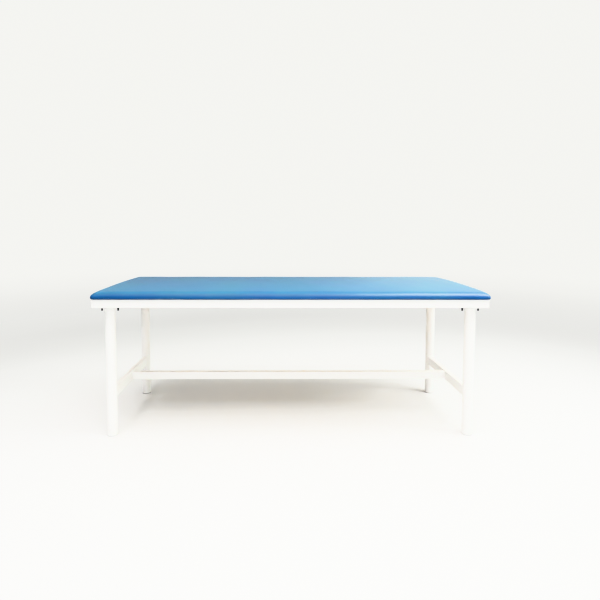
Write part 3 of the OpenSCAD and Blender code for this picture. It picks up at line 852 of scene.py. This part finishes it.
# Painted shade: the cover is darkened within this height above the rail, by this share.
painted_shade_height = 8 * mm
painted_shade_share = 0.5
pebble_share = 0.6
grain_share = 0.6
cover_roughness = (0.30, 0.40)
sheen_and_cloud_roughness = 0.06
cover_thickness = 1 * mm
hem_inset = 63 * mm
lower_edge = 1.4 * mm
hem_corner_radius = 18 * mm
side_bulge = 1.0 * mm
side_steps = 4
edge_steps = 3
hem_steps = 7
slack_crown = 1.0 * mm
swell_cap = 5.0 * mm
swell_pressure = 2.8
swell_frames = 20
foam_hold = 0.3
smallest_move = 1e-9
pleats = 4
pleat_phase = 0.5
pleat_rise = 2.2 * mm
pleat_dent = 0.4 * mm
wave_height = 0.8 * mm
wave_rows = [(0.45, 0.41, 0.9, 0.8), (0.35, 0.233, -0.61, 2.1), (0.20, 0.127, 0.37, 4.0)]


def cover_section():
    """Section of the cover's outer face: the shoulder, the side, the small round lower edge and the hem.
    The side bulges outwards by bulge * 4 * t * (1 - t), with t the share of the shoulder's height."""
    side_height = np.linspace(widest_level, lower_edge, side_steps + 1)[1:]
    a = np.linspace(0, np.pi / 2, edge_steps + 1)[1:]
    hem = np.linspace(lower_edge, hem_inset, hem_steps + 1)[1:]
    rows = np.concatenate(
        [
            upper_section(0.0),
            section_rows(0.0, side_height, 0.0, 0.0),
            section_rows(lower_edge * (1 - np.cos(a)), lower_edge * (1 - np.sin(a)), 0.0, 0.0),
            section_rows(hem, 0.0, 0.0, hem_corner_radius),
        ]
    )
    share = np.clip((rows[:, 1] - lower_edge) / (shoulder_level - lower_edge), 0, 1)
    bulge = side_bulge * 4 * share * (1 - share)
    rows[:, 0] -= bulge
    rows[:, 2] += bulge
    return rows


def points_of(mesh):
    """All points of a mesh as an array."""
    points = np.empty(len(mesh.vertices) * 3, np.float32)
    mesh.vertices.foreach_get("co", points)
    return points.reshape(-1, 3).astype(float)


def set_points(mesh, points):
    """Gives a mesh the points of an array."""
    mesh.vertices.foreach_set("co", points.astype(np.float32).ravel())
    mesh.update()


def swell(piece, held):
    """Cloth simulation of a sheet that is stapled at some points, pressed out from inside by its filling,
    and held elsewhere by the foam as by soft springs. Each point's move m is limited to
    cap * tanh(|m| / cap), and the sheet keeps the result."""
    group = piece.vertex_groups.new(name="held")
    group.add(np.flatnonzero(held).tolist(), 1.0, "REPLACE")
    group.add(np.flatnonzero(~held).tolist(), foam_hold, "REPLACE")
    cloth = piece.modifiers.new("swell", "CLOTH")
    cloth.settings.quality = 6
    cloth.settings.mass = 0.4
    cloth.settings.vertex_group_mass = "held"
    cloth.settings.tension_stiffness = 30
    cloth.settings.compression_stiffness = 30
    cloth.settings.shear_stiffness = 10
    cloth.settings.bending_stiffness = 4
    cloth.settings.use_pressure = True
    cloth.settings.uniform_pressure_force = swell_pressure
    cloth.settings.effector_weights.gravity = 0
    cloth.collision_settings.use_collision = False
    start = points_of(piece.data)
    for step in range(1, swell_frames + 1):
        scene.frame_set(step)
    moved = points_of(piece.evaluated_get(bpy.context.evaluated_depsgraph_get()).data)
    piece.modifiers.remove(cloth)
    piece.vertex_groups.remove(group)
    scene.frame_set(1)
    move = moved - start
    length = np.maximum(np.linalg.norm(move, axis=1, keepdims=True), smallest_move)
    set_points(piece.data, start + move / length * swell_cap * np.tanh(length / swell_cap))


def blue_cover_skin():
    """Blue coated cloth with a leather grain, paler in cloudy patches. A painted sheen makes it paler
    where it looks up, and painted shade darkens it low down.
    """
    material, tree = new_material("blue_coated_cloth")
    place = put(tree, "TexCoord").outputs["Object"]
    clouds = put(tree, "TexNoise", {"Vector": place, "Scale": 5.0, "Detail": 5.0}).outputs[0]
    own = put(tree, "NewGeometry").outputs["Normal"]
    # Painted sheen: the top is made paler than the sides by how far each face looks up; cloudy patches
    # pale it too.
    painted_top_sheen = ramp(tree, put(tree, "SeparateXYZ", {0: own}).outputs["Z"], *sheen_facing)
    cloudy = maths(tree, "MULTIPLY", ramp(tree, clouds, *cloud_patch), cloud_share)
    blended = maths(tree, "MULTIPLY_ADD", painted_top_sheen, painted_sheen_share, cloudy)
    height = put(tree, "SeparateXYZ", {0: place}).outputs["Z"]
    # Painted shade: darker towards the bottom, within a few millimetres of the rail.
    low_down = maths(tree, "SUBTRACT", 1.0, ramp(tree, height, rail_top, rail_top + painted_shade_height))
    painted_shade_mask = maths(tree, "MULTIPLY", low_down, painted_shade_share)
    dust = put(tree, "Group", {"Amount": 0.01, "Clouds": 14.0}, node_tree=settled_dust).outputs["Mask"]
    pebbles = put(tree, "TexVoronoi", {"Vector": place, "Scale": 850.0}, feature="SMOOTH_F1").outputs[0]
    grain = put(tree, "Group", {"Scale": 420.0}, node_tree=fine_grain).outputs["Height"]
    fine_leather = maths(tree, "MULTIPLY", grain, grain_share)
    leather = maths(tree, "MULTIPLY_ADD", pebbles, pebble_share, fine_leather)
    lit_and_shaded_blue = mixed(tree, painted_shade_mask, mixed(tree, blended, cover_blue, cover_sheen_and_cloud_blue), cover_painted_shade)
    gloss = between(tree, grain, *cover_roughness)
    finish = {
        "Base Color": mixed(tree, dust, lit_and_shaded_blue, cover_dusty),
        "Roughness": maths(tree, "MULTIPLY_ADD", blended, sheen_and_cloud_roughness, gloss),
        "Specular IOR Level": 0.4,
        "Coat Weight": 0.2,
        "Coat Roughness": 0.22,
    }
    lay_finish(tree, {"Height": leather, "Strength": 0.22, "Distance": 0.12 * mm}, finish)
    return material


section = cover_section()
start_crown = crown_rise - slack_crown
cover_points, cover_steps, cover_angle = wrapped_sheet(section, start_crown)
cover = mesh_object("blue_cover", cover_points, grid_faces(*cover_steps.shape), blue_cover_skin())
swell(cover, section[cover_steps, 1].ravel() <= lower_edge)

# Pleats and waves: each point moves along its normal. The gathered cloth stands out round a corner by
# sin(2 * angle) * (rise - (rise + dent) * v), with v = (1 - |sin(2 * pleats * angle + phase)|)^3 for the
# narrow valley of a pleat. It stands out most low on the side. The waves are the sum of long sines,
# height * share * sin(2 pi * (x / length in X + y / length in Y) + phase).
points = points_of(cover.data)
normals = np.empty(len(points) * 3, np.float32)
cover.data.vertex_normals.foreach_get("vector", normals)
normals = normals.reshape(-1, 3).astype(float)
level = section[cover_steps, 1].ravel()
on_side = np.clip((shoulder_level - level) / (shoulder_level - widest_level), 0, 1) * (level > lower_edge)
angle = cover_angle.ravel()
valley = (1 - np.abs(np.sin(2 * pleats * angle + pleat_phase))) ** 3
gathers = np.sin(2 * angle) * (pleat_rise - (pleat_rise + pleat_dent) * valley)
x, y = points[:, 0], points[:, 1]
waves = sum(
    share * np.sin(2 * np.pi * (x / length_x + y / length_y) + phase)
    for share, length_x, length_y, phase in wave_rows
)
wave_share = np.clip((level - lower_edge) / (widest_level - lower_edge), 0, 1)
outward = wave_height * waves * wave_share + gathers * on_side
skin = points + normals * outward[:, None]
set_points(cover.data, skin)

# The foam springs back until it fills the cover: the foam's upper side is the cover's own grid,
# a depth inside its skin, never lower than the board, and down on the board along its rim.
hem_rows = len(section) - len(foam_upper)
inner = (skin - normals * foam_depth).reshape(*cover_steps.shape, 3)
filled = inner[hem_rows:-hem_rows, hem_rows:-hem_rows]
filled[..., 2] = np.maximum(filled[..., 2], rail_top + board_level)
filled[foam_steps == foam_steps.max(), 2] = rail_top + board_level
resting = np.copy(filled)
resting[..., 2] = rail_top + board_level
set_points(foam.data, np.concatenate([filled.reshape(-1, 3), resting.reshape(-1, 3)]))

wall = cover.modifiers.new("thickness", "SOLIDIFY")
wall.thickness = cover_thickness
wall.offset = -1
smooth = cover.modifiers.new("smooth", "SUBSURF")
smooth.levels = 1
smooth.render_levels = 1
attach(cover, "root")
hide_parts("pad_cover")


# Last, the scene is brought up to date. The box of the imported solids was taken at the start.
bpy.context.view_layer.update()
